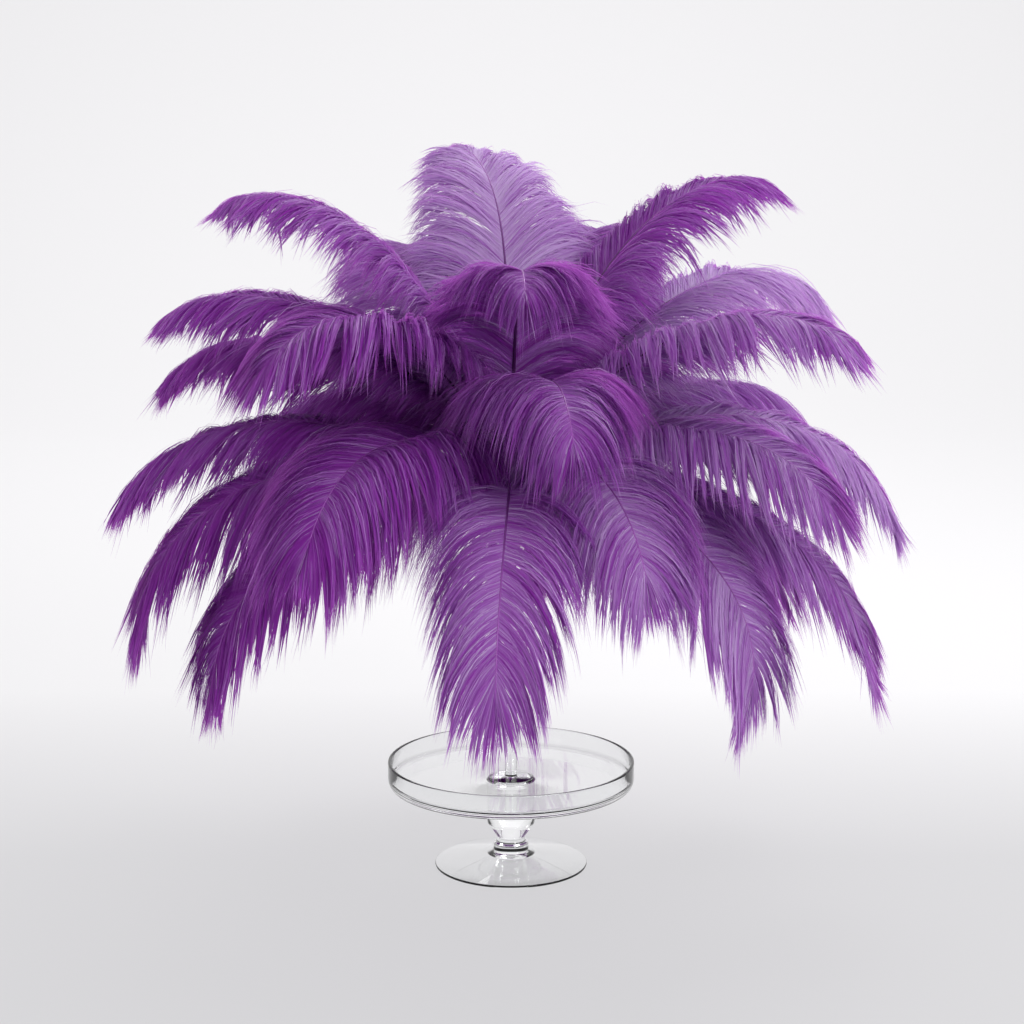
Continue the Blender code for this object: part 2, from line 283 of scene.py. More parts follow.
@dataclass(frozen=True)
class QuillFinish:
    """Dyed quill, dark and smooth near the ball, where the darkness is painted shade of the dome's
    core, and as pale as the barbs toward its end.
    """

    name: str = "dyed_quill_and_painted_shade"
    # Painted shade: the quill darkens toward the ball, in the shade of the dome's core.
    painted_shade_stops: Stops = (
        (0.20, (0.045, 0.006, 0.065)),
        (0.60, (0.150, 0.025, 0.205)),
        (0.95, (0.340, 0.080, 0.440)),
    )
    roughness: float = 0.38
    patch_scale: float = 60.0
    patch_depth: float = 0.30

    def material(self) -> bpy.types.Material:
        """Paint shade on the quill by how far along it a place is, darkest near the ball, with soft
        patches.

        Returns:
            The material.
        """
        shader = Shader(self.name)
        patches = (shader.noise(self.patch_scale) - 0.5) * self.patch_depth
        colour = shader.ramp(self.painted_shade_stops, shader.attribute("along") + patches)
        quill = shader.surface({"Base Color": colour, "Roughness": self.roughness})
        return shader.finish(quill)


@dataclass(frozen=True)
class ClearGlassFinish:
    """Polished clear glass with the faint grey-green of soda glass in its depth."""

    name: str = "clear_glass"
    tint: Colour = (0.986, 0.993, 0.991)
    roughness: float = 0.0
    ior: float = 1.45

    def material(self) -> bpy.types.Material:
        """Let light through, bent and slightly tinted.

        Returns:
            The material.
        """
        shader = Shader(self.name)
        glass = shader.surface(
            {
                "Base Color": (*self.tint, 1.0),
                "Roughness": self.roughness,
                "IOR": self.ior,
                "Transmission Weight": 1.0,
            }
        )
        return shader.finish(glass)


@dataclass(frozen=True)
class FoamFinish:
    """Foam painted a dark purple, with its open cells showing and painted shade in their hollows."""

    name: str = "painted_foam_and_cell_shade"
    # Painted shade: the colour darkens toward the middles of the cells, where they dip.
    painted_shade_stops: Stops = ((0.0, (0.020, 0.004, 0.035)), (0.8, (0.075, 0.018, 0.120)))
    roughness: float = 0.9
    cell_scale: float = 420.0
    bump: float = 0.7
    bump_distance: float = 0.0012

    def material(self) -> bpy.types.Material:
        """Colour the foam by its cells, darker in their hollows as painted shade, and raise it by them.

        Returns:
            The material.
        """
        shader = Shader(self.name)
        where = {"Vector": shader.place(), "Scale": self.cell_scale}
        cells = shader.add("ShaderNodeTexVoronoi", inputs=where, output="Distance")
        relief = {"Height": cells, "Strength": self.bump, "Distance": self.bump_distance}
        foam = shader.surface(
            {
                # Painted shade: darker where the cells dip.
                "Base Color": shader.ramp(self.painted_shade_stops, cells),
                "Roughness": self.roughness,
                "Normal": shader.add("ShaderNodeBump", inputs=relief),
            }
        )
        return shader.finish(foam)


@dataclass(frozen=True)
class StudioPaperFinish:
    """Matt pale sheet that glows a little, greyer and more even at the front than at the back."""

    name: str = "studio_paper"
    front: float = 0.02
    back: float = 0.68
    colours: Stops = ((0.0, (0.050, 0.049, 0.051)), (1.0, (0.31, 0.306, 0.314)))
    glows: Stops = ((0.0, (0.606, 0.602, 0.617)), (1.0, (0.500, 0.498, 0.503)))
    roughness: float = 0.8

    def material(self) -> bpy.types.Material:
        """Shade the sheet along Y, from `front` to `back`.

        Returns:
            The material.
        """
        shader = Shader(self.name)
        depth = shader.add("ShaderNodeSeparateXYZ", inputs={"Vector": shader.place()}, output="Y")
        share = (depth - self.front) * (1 / (self.back - self.front))
        paper = shader.surface(
            {
                "Base Color": shader.ramp(self.colours, share),
                "Roughness": self.roughness,
                "Emission Color": shader.ramp(self.glows, share),
                "Emission Strength": 1.0,
            }
        )
        return shader.finish(paper)


# ---------------------------------------------------------------- shared making


def add_piece(
    name: str,
    mesh: bpy.types.Mesh,
    material: bpy.types.Material,
    nodes: Sequence[str],
) -> None:
    """Link a finished mesh as a piece of the object.

    Args:
        name: The piece's name.
        mesh: Its mesh, already in place.
        material: Its finish.
        nodes: CAD nodes that it stands for.
    """
    mesh.materials.append(material)
    piece = bpy.data.objects.new(name, mesh)
    bpy.context.scene.collection.objects.link(piece)
    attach(piece, BODY)
    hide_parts(*nodes)
    LOG.info("%s: %d faces", name, len(mesh.polygons))


def finished_mesh(name: str, shape: bmesh.types.BMesh, sharp: float = math.pi) -> bpy.types.Mesh:
    """Turn a finished shape into a smooth-shaded mesh and free the shape.

    Args:
        name: The mesh's name.
        shape: The shape.
        sharp: Angle, in radians, from which an edge stays sharp.

    Returns:
        The mesh.
    """
    mesh = bpy.data.meshes.new(name)
    shape.to_mesh(mesh)
    shape.free()
    mesh.shade_smooth()
    if sharp < math.pi:
        mesh.set_sharp_from_angle(angle=sharp)
    return mesh


def spun_mesh(name: str, profile: Profile, steps: int) -> bpy.types.Mesh:
    """Turn a profile about the Z axis into a closed, smooth-shaded mesh.

    Args:
        name: The mesh's name.
        profile: Pairs of radius and height, from the axis round the section and back to it.
        steps: Steps in the full turn.

    Returns:
        The mesh.
    """
    shape = bmesh.new()
    rim = [shape.verts.new((radius, 0.0, height)) for radius, height in profile]
    edges = [shape.edges.new(pair) for pair in zip(rim, rim[1:])]
    turn = {"cent": (0.0, 0.0, 0.0), "axis": (0.0, 0.0, 1.0), "angle": math.tau, "steps": steps}
    bmesh.ops.spin(shape, geom=rim + edges, use_merge=True, **turn)
    bmesh.ops.remove_doubles(shape, verts=shape.verts, dist=MERGE_DISTANCE)
    bmesh.ops.recalc_face_normals(shape, faces=shape.faces)
    return finished_mesh(name, shape, GLASS_SHARP_ANGLE)


def store_values(mesh: bpy.types.Mesh, name: str, values: np.ndarray) -> None:
    """Store one number for each vertex, for a material to read."""
    store = mesh.attributes.new(name, "FLOAT", "POINT")
    store.data.foreach_set("value", values.astype(np.float32))


# ---------------------------------------------------------------- plumes


@dataclass(frozen=True)
class Plume:
    """How one plume leaves the ball and bends, and its tone shift, which is painted light and shade;
    angles in degrees, azimuth 0 is the front.
    """

    name: str
    azimuth: float
    rise: float
    droop: float
    sweep: float
    length: float
    reach: float
    # Painted light and shade: plumes on the lit right side and backlit at the back get a paler tone,
    # plumes on the shaded left side a darker one.
    pale: float = 0.0


# Last column: each plume's tone shift, painted light and shade.
PLUMES: tuple[Plume, ...] = (
    Plume("plume_low_front", 0, 7, 117, -12, 0.450, 0.130, 0.10),
    Plume("plume_low_front_left", -55, -7, 91, -16, 0.380, 0.125, -0.12),
    Plume("plume_low_front_right", 45, -5, 114, 16, 0.375, 0.130, 0.24),
    Plume("plume_side_front", 20, 12, 95, 5, 0.340, 0.135, 0.20),
    Plume("plume_side_front_left", -30, 17, 90, 7, 0.375, 0.145, -0.06),
    Plume("plume_side_front_right", 55, 17, 70, -13, 0.350, 0.125, 0.22),
    Plume("plume_mid_front", 10, 34, 101, -3, 0.350, 0.120, 0.06),
    Plume("plume_mid_front_left", -45, 48, 113, -8, 0.340, 0.130),
    Plume("plume_mid_front_right", 54, 40, 76, 12, 0.385, 0.115, 0.22),
    Plume("plume_top_front", 4, 68, 130, -2, 0.310, 0.105, 0.04),
    Plume("plume_low_left", -76, 3, 101, -11, 0.405, 0.150, -0.10),
    Plume("plume_low_right", 82, -7, 86, -8, 0.405, 0.125, 0.22),
    Plume("plume_side_left", -96, 12, 77, -12, 0.395, 0.115, -0.06),
    Plume("plume_side_right", 88, 16, 100, -6, 0.390, 0.120, 0.40),
    Plume("plume_top_left", -85, 64, 79, -2, 0.365, 0.115, 0.06),
    Plume("plume_top_right", 110, 65, 83, 8, 0.385, 0.110),
    Plume("plume_mid_left", -95, 42, 78, -13, 0.360, 0.115, -0.04),
    Plume("plume_mid_back_right", 121, 43, 87, 6, 0.400, 0.130, 0.54),
    Plume("plume_mid_back_left", -117, 28, 78, 0, 0.400, 0.115, -0.14),
    Plume("plume_side_back_right", 131, 17, 60, -3, 0.370, 0.115, 0.20),
    Plume("plume_top_back", 182, 64, 55, 30, 0.370, 0.120, 0.44),
    Plume("plume_top_back_left", -160, 48, 86, 16, 0.385, 0.155, 0.22),
    Plume("plume_top_back_right", 158, 58, 100, -2, 0.360, 0.130, 0.10),
    Plume("plume_low_back_right", 125, -8, 80, 0, 0.390, 0.130),
    Plume("plume_low_back_left", -130, -8, 80, 0, 0.390, 0.130),
    Plume("plume_low_back", 175, -12, 75, 0, 0.360, 0.130),
    Plume("plume_side_back_left", -142, 14, 80, 0, 0.400, 0.130),
    Plume("plume_side_back", 165, 10, 80, 0, 0.375, 0.130),
    Plume("plume_mid_back", 180, 36, 85, 0, 0.385, 0.135, 0.28),
)


@dataclass
class Placed:
    """Points on a quill, with the directions ahead, to the right and above at each."""

    point: np.ndarray
    ahead: np.ndarray
    side: np.ndarray
    above: np.ndarray

    def pick(self, shares: np.ndarray, known: np.ndarray) -> "Placed":
        """Read all four between known places.

        Args:
            shares: Places wanted, as shares of the quill.
            known: Shares at which this holds its rows.

        Returns:
            One row for each wanted share.
        """
        rows = (self.point, self.ahead, self.side, self.above)
        read = [[np.interp(shares, known, row[:, axis]) for axis in range(3)] for row in rows]
        return Placed(*(np.stack(axes, axis=1) for axes in read))


class QuillCurve:
    """Middle line of a plume's quill, bent as its solid is."""

    BEND_POWER = 2.2
    STEPS = 60

    def __init__(self, plume: Plume, centre: np.ndarray, ball_radius: float) -> None:
        """Bend a plume's quill.

        Args:
            plume: The plume.
            centre: Middle of the ball.
            ball_radius: Radius of the ball, on whose surface share 0 of the quill lies.
        """
        self.plume = plume
        self.known = np.linspace(0.0, 1.0, self.STEPS + 1)
        middles = (self.known[1:] + self.known[:-1]) / 2
        steps = self._ahead(middles) * plume.length / self.STEPS
        start = centre + ball_radius * self._ahead(np.zeros(1))
        points = np.concatenate([start, start + np.cumsum(steps, axis=0)])
        azimuth = np.radians(self._bend(self.known)[0])
        side = np.stack([np.cos(azimuth), np.sin(azimuth), np.zeros_like(azimuth)], axis=1)
        ahead = self._ahead(self.known)
        self.rows = Placed(points, ahead, side, np.cross(ahead, side))

    def _bend(self, shares: np.ndarray) -> tuple[np.ndarray, np.ndarray]:
        """Follow the bend.

        Args:
            shares: Places, as shares of the quill.

        Returns:
            Azimuth and elevation at each, in degrees.
        """
        grown = shares**self.BEND_POWER
        azimuth = self.plume.azimuth + self.plume.sweep * grown
        return azimuth, self.plume.rise - self.plume.droop * grown

    def _ahead(self, shares: np.ndarray) -> np.ndarray:
        """Follow the direction.

        Args:
            shares: Places, as shares of the quill.

        Returns:
            Unit direction of the quill at each.
        """
        azimuth, elevation = np.radians(self._bend(shares))
        level = np.cos(elevation)
        return np.stack([np.sin(azimuth) * level, -np.cos(azimuth) * level, np.sin(elevation)], 1)

    def at(self, shares: np.ndarray) -> Placed:
        """Points and directions at shares of the quill."""
        return self.rows.pick(shares, self.known)

    def nearest(self, points: np.ndarray) -> np.ndarray:
        """Share of the quill that lies nearest to each point."""
        gaps = np.linalg.norm(points[:, None, :] - self.rows.point[None], axis=2)
        return self.known[np.argmin(gaps, axis=1)]


def read_table(table: Table, shares: np.ndarray) -> np.ndarray:
    """Values between the points of a table."""
    places, values = zip(*table)
    return np.interp(shares, places, values)


@dataclass
class Barbs:
    """Barbs of one vane: where each leaves the quill and how it grows, one number each."""

    root: np.ndarray
    cut: np.ndarray
    sag: np.ndarray
    lean: np.ndarray
    rise: np.ndarray
    lift: np.ndarray
    drift: np.ndarray


@dataclass
class GrownBarbs:
    """Barbs when grown: points along each, whether it is a fine one, and its tone."""

    points: np.ndarray
    fine: np.ndarray
    tone: np.ndarray


@dataclass
class Groups:
    """The locks and the wisps of one vane, as roots on the quill and an index for each barb."""

    lock_root: np.ndarray
    wisp_root: np.ndarray
    lock: np.ndarray
    wisp: np.ndarray

    def spread(self, spreads: Span, rng: np.random.Generator) -> np.ndarray:
        """Draw a normal difference for each lock and each wisp, and add the two.

        Args:
            spreads: Deviation among the locks, and among the wisps.
            rng: Source of the draws.

        Returns:
            One difference for each barb.
        """
        of_locks = rng.normal(0.0, spreads[0], len(self.lock_root))[self.lock]
        return of_locks + rng.normal(0.0, spreads[1], len(self.wisp_root))[self.wisp]

    def factor(self, spans: tuple[Span, Span], rng: np.random.Generator) -> np.ndarray:
        """Draw an even factor for each lock and each wisp, and multiply the two.

        Args:
            spans: Lowest and highest factor of a lock, and of a wisp.
            rng: Source of the draws.

        Returns:
            One factor for each barb.
        """
        of_locks = rng.uniform(*spans[0], len(self.lock_root))[self.lock]
        return of_locks * rng.uniform(*spans[1], len(self.wisp_root))[self.wisp]


@dataclass
class VaneLayout:
    """Where the barbs of one vane leave the quill, of what kind they are, and their groups."""

    root: np.ndarray
    fine: np.ndarray
    loose: np.ndarray
    downy: np.ndarray
    tip: np.ndarray
    groups: Groups


@dataclass(frozen=True)
class BarbHabit:
    """How barbs grow: tables from the quill's first barb to its last, and how they bend."""

    first_share: float = 0.015
    last_share: float = 0.93
    lean: Table = ((0.0, 70), (0.15, 60), (0.50, 54), (0.80, 45), (0.94, 36), (1.0, 0))
    reach: Table = (
        (0.0, 0.60),
        (0.12, 0.95),
        (0.28, 1.20),
        (0.50, 1.08),
        (0.70, 0.95),
        (0.86, 0.75),
        (0.94, 0.57),
        (1.0, 0.36),
    )
    lift: Table = ((0.0, 0.42), (0.30, 0.30), (1.0, 0.18))
    sag: float = 3.4
    sag_power: float = 1.6
    swing: float = 12.0 * MM
    swing_power: float = 2.5
    steps: int = 24

    def root(self, even: np.ndarray) -> np.ndarray:
        """Share of the quill for each share of its barbed part."""
        return self.first_share + (self.last_share - self.first_share) * even

    def done(self, barbs: Barbs) -> np.ndarray:
        """Share of the uncut barb that each step has reached, as barbs by steps."""
        return barbs.cut[:, None] * np.linspace(0.0, 1.0, self.steps + 1)

    def paths(self, curve: QuillCurve, vane: Vane, barbs: Barbs) -> np.ndarray:
        """Follow each barb from the quill to its tip under its own weight.

        Args:
            curve: The plume's quill.
            vane: The side that the barbs leave on.
            barbs: The barbs.

        Returns:
            Points, as barbs by steps by three.
        """
        place = curve.at(barbs.root)
        share = np.clip(barbs.root / self.last_share, 0.0, 1.0)
        lean = np.radians(read_table(self.lean, share) + barbs.lean)[:, None]
        start = np.cos(lean) * place.ahead + vane.value * np.sin(lean) * place.side
        start[:, 2] += read_table(self.lift, share) + barbs.rise
        level = np.linalg.norm(start[:, :2], axis=1) / np.linalg.norm(start, axis=1)
        length = curve.plume.reach * read_table(self.reach, share) * barbs.cut
        middles = (np.arange(self.steps) + 0.5) / self.steps
        weight = (self.sag * barbs.sag * level**2)[:, None]
        weight = weight * (barbs.cut[:, None] * middles) ** self.sag_power
        heading = start[:, None, :] - weight[..., None] * np.array([0.0, 0.0, 1.0])
        heading /= np.linalg.norm(heading, axis=2, keepdims=True)
        moves = np.cumsum(heading * (length / self.steps)[:, None, None], axis=1)
        points = np.concatenate([np.zeros_like(moves[:, :1]), moves], axis=1)
        points += place.point[:, None, :]
        out = (self.done(barbs) ** self.swing_power)[..., None]
        points += out * barbs.lift[:, None, None] * place.above[:, None, :]
        points += out * (self.swing + barbs.drift)[:, None, None] * place.ahead[:, None, :]
        return points


@dataclass(frozen=True)
class Unevenness:
    """How barbs differ: pairs shared by a lock and by a wisp, and what is a fine barb's own."""

    cut: tuple[Span, Span] = ((0.93, 1.09), (0.89, 1.07))
    sag: tuple[Span, Span] = ((0.86, 1.16), (0.85, 1.18))
    lean: Span = (1.0, 0.7)
    rise: Span = (0.03, 0.035)
    lift: Span = (4.5 * MM, 1.6 * MM)
    drift: Span = (6.0 * MM, 2.2 * MM)
    tone: Span = (0.045, 0.07)
    own_cut: float = 0.34
    own_cut_power: float = 2.0
    own_rise: float = 0.05
    own_lift: float = 2.0 * MM
    own_drift: float = 1.6 * MM
    own_lean: float = 1.8
    own_tone: float = 0.16
    downy_lean: float = 7.0
    tip_lean: float = 6.0
    loose_stray: float = 2.4
    downy_stray: float = 2.0


@dataclass(frozen=True)
class Gathering:
    """How barbs draw together into wisps and locks, and how their ends wave."""

    wisp_split: float = 0.50
    wisp_pull: Span = (0.55, 0.90)
    lock_split: Span = (0.22, 0.48)
    lock_pull: Span = (0.84, 0.98)
    freed: float = 0.75
    loose_hold: float = 0.15
    wave: float = 2.2 * MM
    wave_turns: Span = (0.7, 1.5)

    def held(self, layout: VaneLayout) -> np.ndarray:
        """How strongly each barb keeps to its group: less at the quill's two ends."""
        ends = (1.0 - self.freed * layout.downy) * (1.0 - self.freed * layout.tip)
        return ends * np.where(layout.loose, self.loose_hold, 1.0)

    @staticmethod
    def draw_in(
        points: np.ndarray,
        lead: np.ndarray,
        done: np.ndarray,
        split: np.ndarray | float,
        pull: np.ndarray,
    ) -> np.ndarray:
        """Draw barbs toward the line that leads their group.

        Args:
            points: Their points.
            lead: Points of the leading line, for each of them.
            done: Share of the full barb at each point.
            split: Share at which the group starts to draw together.
            pull: How far it draws together at the tip, up to 1.

        Returns:
            The moved points.
        """
        rise = np.clip((done - split) / (1.0 - split), 0.0, 1.0)
        weight = pull * rise * rise * (3.0 - 2.0 * rise)
        return points + weight[..., None] * (lead - points)

    def sway(self, done: np.ndarray, groups: Groups, rng: np.random.Generator) -> np.ndarray:
        """Slight wave that the barbs of a wisp share, stronger toward the tip.

        Args:
            done: Share of the full barb at each point.
            groups: The wisps.
            rng: Source of each wisp's wave.

        Returns:
            How far each point moves along the quill.
        """
        count = len(groups.wisp_root)
        size = self.wave * rng.normal(size=count)[groups.wisp][:, None]
        turns = rng.uniform(*self.wave_turns, count)[groups.wisp][:, None]
        phase = rng.random(count)[groups.wisp][:, None]
        return size * done * (np.sin(math.tau * (turns * done + phase)) - np.sin(math.tau * phase))


@dataclass(frozen=True)
class RibbonMaker:
    """Ribbons of barbs, with widths in millimetres from the quill to the tip."""

    points: int = 6
    shift: float = 0.45
    fine_widths: Table = ((0.0, 0.48), (0.80, 0.50), (1.0, 0.24))
    broad_widths: Table = ((0.0, 1.6), (0.50, 2.6), (0.80, 1.4), (1.0, 0.4))
    roll: float = 0.38

    def mesh(
        self, name: str, curve: QuillCurve, barbs: GrownBarbs, rng: np.random.Generator
    ) -> bpy.types.Mesh:
        """Make each barb a ribbon that ends in a point, with its tone stored on it.

        Args:
            name: The mesh's name.
            curve: The plume's quill.
            barbs: The grown barbs.
            rng: Source of the places of the ribbons' points, and of their roll.

        Returns:
            The mesh.
        """
        points, shares = self._thin_out(barbs.points, rng)
        ahead = curve.at(curve.nearest(points[:, 0])).ahead
        edges = self._edges(points, shares, ahead, barbs.fine, rng)
        count, last = len(points), self.points - 1
        pairs = edges[:, :last].reshape(count, last * 2, 3)
        vertices = np.concatenate([pairs, points[:, last:]], axis=1)
        per_barb = last * 2 + 1
        first = (np.arange(count) * per_barb)[:, None]
        quads = [[2 * k, 2 * k + 1, 2 * k + 3, 2 * k + 2] for k in range(last - 1)]
        quads = (first[..., None] + np.array(quads)[None]).reshape(-1, 4)
        tips = first + np.array([[2 * last - 2, 2 * last - 1, 2 * last]])
        mesh = bpy.data.meshes.new(name)
        mesh.from_pydata(vertices.reshape(-1, 3).tolist(), [], quads.tolist() + tips.tolist())
        mesh.shade_smooth()
        store_values(mesh, "tone", np.repeat(barbs.tone, per_barb))
        return mesh

    def _thin_out(
        self, points: np.ndarray, rng: np.random.Generator
    ) -> tuple[np.ndarray, np.ndarray]:
        """Keep a few points of each barb, at places that differ from barb to barb.

        Args:
            points: Points, as barbs by steps by three.
            rng: Source of the places.

        Returns:
            The kept points, and the share of the barb at each.
        """
        count, steps = len(points), points.shape[1] - 1
        shares = np.tile(np.linspace(0.0, 1.0, self.points), (count, 1))
        shift = rng.uniform(-self.shift, self.shift, (count, 1))
        shares[:, 1:-1] += shift / (self.points - 1)
        place = shares * steps
        low = np.minimum(place.astype(int), steps - 1)
        part = (place - low)[..., None]
        row = np.arange(count)[:, None]
        return (1.0 - part) * points[row, low] + part * points[row, low + 1], shares

    def _edges(
        self,
        points: np.ndarray,
        shares: np.ndarray,
        ahead: np.ndarray,
        fine: np.ndarray,
        rng: np.random.Generator,
    ) -> np.ndarray:
        """Left and right edges of each barb's ribbon.

        Args:
            points: Points along the barbs.
            shares: Share of the barb at each.
            ahead: The quill's direction where each barb leaves it.
            fine: Whether each is a fine barb, and not the broad ribbon of a wisp.
            rng: Source of each ribbon's roll.

        Returns:
            Edge points, as barbs by points by two by three.
        """
        along = np.gradient(points, axis=1)
        along /= np.linalg.norm(along, axis=2, keepdims=True)
        ahead = ahead[:, None, :]
        across = ahead - np.sum(along * ahead, axis=2, keepdims=True) * along
        across /= np.maximum(np.linalg.norm(across, axis=2, keepdims=True), TINY)
        roll = (fine * rng.normal(0.0, self.roll, len(points)))[:, None, None]
        across = np.cos(roll) * across + np.sin(roll) * np.cross(along, across)
        fine_width = read_table(self.fine_widths, shares)
        broad_width = read_table(self.broad_widths, shares)
        half = np.where(fine[:, None], fine_width, broad_width)[..., None] * MM / 2
        return np.stack([points - across * half, points + across * half], axis=2)


@dataclass(frozen=True)
class BarbCoat:
    """The barbs of a plume: fine ribbons over a broader one for each wisp, in soft locks."""

    barbs_a_side: int = 1400
    locks_a_side: int = 36
    wisps_a_side: int = 380
    group_room: Span = (0.12, 0.88)
    loose_share: float = 0.10
    down_end: float = 0.40
    tip_start: float = 0.90
    broad_cut: float = 0.88
    broad_depth: float = 2.5 * MM
    broad_tone: float = 0.08
    middle_tone: float = 0.50
    habit: BarbHabit = BarbHabit()
    uneven: Unevenness = Unevenness()
    gathering: Gathering = Gathering()
    ribbons: RibbonMaker = RibbonMaker()

    def mesh(self, name: str, curve: QuillCurve, rng: np.random.Generator) -> bpy.types.Mesh:
        """Grow both vanes of a plume and make them one mesh.

        Args:
            name: The mesh's name.
            curve: The plume's quill.
            rng: Source of the small differences between barbs.

        Returns:
            The mesh.
        """
        vanes = [self._grow(curve, vane, rng) for vane in Vane]
        both = GrownBarbs(
            points=np.concatenate([vane.points for vane in vanes]),
            fine=np.concatenate([vane.fine for vane in vanes]),
            tone=np.concatenate([vane.tone for vane in vanes]),
        )
        return self.ribbons.mesh(name, curve, both, rng)

    def _grow(self, curve: QuillCurve, vane: Vane, rng: np.random.Generator) -> GrownBarbs:
        """Grow one vane.

        Args:
            curve: The plume's quill.
            vane: The side to grow.
            rng: Source of the small differences between barbs.

        Returns:
            The vane's fine barbs, and after them the broad ribbon of each wisp.
        """
        layout = self._lay_out(rng)
        fine, groups, count = layout.fine, layout.groups, len(layout.root)
        shared = self._shared_growth(layout, rng)
        points = self.habit.paths(curve, vane, self._own_growth(shared, layout, rng))
        done, held = self.habit.done(shared), self.gathering.held(layout)

        lead = replace(shared, root=groups.wisp_root[groups.wisp])
        lead = self.habit.paths(curve, vane, lead)
        pull = (held * rng.uniform(*self.gathering.wisp_pull, count))[:, None]
        points = self.gathering.draw_in(points, lead, done, self.gathering.wisp_split, pull)

        lead = replace(shared, root=groups.lock_root[groups.lock])
        lead = self.habit.paths(curve, vane, lead)
        split = rng.uniform(*self.gathering.lock_split, self.locks_a_side)[groups.lock][:, None]
        pull = (held * rng.uniform(*self.gathering.lock_pull, count))[:, None]
        points = self.gathering.draw_in(points, lead, done, split, pull)

        sway = self.gathering.sway(done, groups, rng)
        points = points + sway[..., None] * curve.at(layout.root).ahead[:, None, :]
        # Painted light and shade: each plume's tone shift lightens or darkens all its barbs.
        tone = self.middle_tone + curve.plume.pale + groups.spread(self.uneven.tone, rng)
        tone += fine * self.uneven.own_tone * rng.normal(size=count)
        return GrownBarbs(points, fine, np.clip(tone - self.broad_tone * ~fine, 0.0, 1.0))

    def _lay_out(self, rng: np.random.Generator) -> VaneLayout:
        """Choose where the barbs of one vane leave the quill, and group them.

        Args:
            rng: Source of their uneven places.

        Returns:
            The layout of the fine barbs, and after them of one broad ribbon for each wisp.
        """
        count = self.barbs_a_side
        fine_root = self.habit.root((np.arange(count) + rng.random(count)) / count)
        lock_root = self._group_roots(self.locks_a_side, rng)
        wisp_root = self._group_roots(self.wisps_a_side, rng)
        root = np.concatenate([fine_root, wisp_root])
        fine = np.arange(len(root)) < count
        wisp = self._nearest(wisp_root, root)
        lock = self._nearest(lock_root, wisp_root)[wisp]
        past_start = root / self.habit.last_share - self.tip_start
        return VaneLayout(
            root=root,
            fine=fine,
            loose=fine & (rng.random(len(root)) < self.loose_share),
            downy=np.clip(1.0 - root / self.down_end, 0.0, 1.0),
            tip=np.clip(past_start / (1.0 - self.tip_start), 0.0, 1.0),
            groups=Groups(lock_root, wisp_root, lock, wisp),
        )

    def _group_roots(self, count: int, rng: np.random.Generator) -> np.ndarray:
        """Places on the quill of unevenly spaced groups of barbs."""
        return self.habit.root((np.arange(count) + rng.uniform(*self.group_room, count)) / count)

    @staticmethod
    def _nearest(roots: np.ndarray, wanted: np.ndarray) -> np.ndarray:
        """Index of the group that lies nearest to each place."""
        edges = (roots[1:] + roots[:-1]) / 2
        return np.searchsorted(edges, wanted)

    def _shared_growth(self, layout: VaneLayout, rng: np.random.Generator) -> Barbs:
        """Each barb's root and cut, with what it shares with its lock and its wisp.

        Args:
            layout: Where the barbs are.
            rng: Source of the differences.

        Returns:
            The barbs.
        """
        uneven, groups = self.uneven, layout.groups
        shorter = uneven.own_cut * rng.random(len(layout.root)) ** uneven.own_cut_power
        cut = np.where(layout.fine, 1.0 - shorter, self.broad_cut)
        return Barbs(
            root=layout.root,
            cut=cut * groups.factor(uneven.cut, rng),
            sag=groups.factor(uneven.sag, rng),
            lean=groups.spread(uneven.lean, rng),
            rise=groups.spread(uneven.rise, rng),
            lift=groups.spread(uneven.lift, rng),
            drift=groups.spread(uneven.drift, rng),
        )

    def _own_growth(self, shared: Barbs, layout: VaneLayout, rng: np.random.Generator) -> Barbs:
        """Add each fine barb's own differences, and set the broad ribbons under the fine ones.

        Args:
            shared: The barbs with what they share.
            layout: Where they are.
            rng: Source of the differences.

        Returns:
            The barbs as they grow before they draw together.
        """
        uneven, fine, count = self.uneven, layout.fine, len(layout.root)
        stray = fine * np.where(layout.loose, uneven.loose_stray, 1.0)
        stray = stray * (1.0 + uneven.downy_stray * layout.downy)
        turn = uneven.own_lean + uneven.downy_lean * layout.downy + uneven.tip_lean * layout.tip
        below = self.broad_depth * ~fine
        return replace(
            shared,
            rise=shared.rise + fine * uneven.own_rise * rng.normal(size=count),
            lift=shared.lift + uneven.own_lift * stray * rng.normal(size=count) - below,
            drift=shared.drift + uneven.own_drift * stray * rng.normal(size=count),
            lean=shared.lean + fine * turn * rng.normal(size=count),
        )


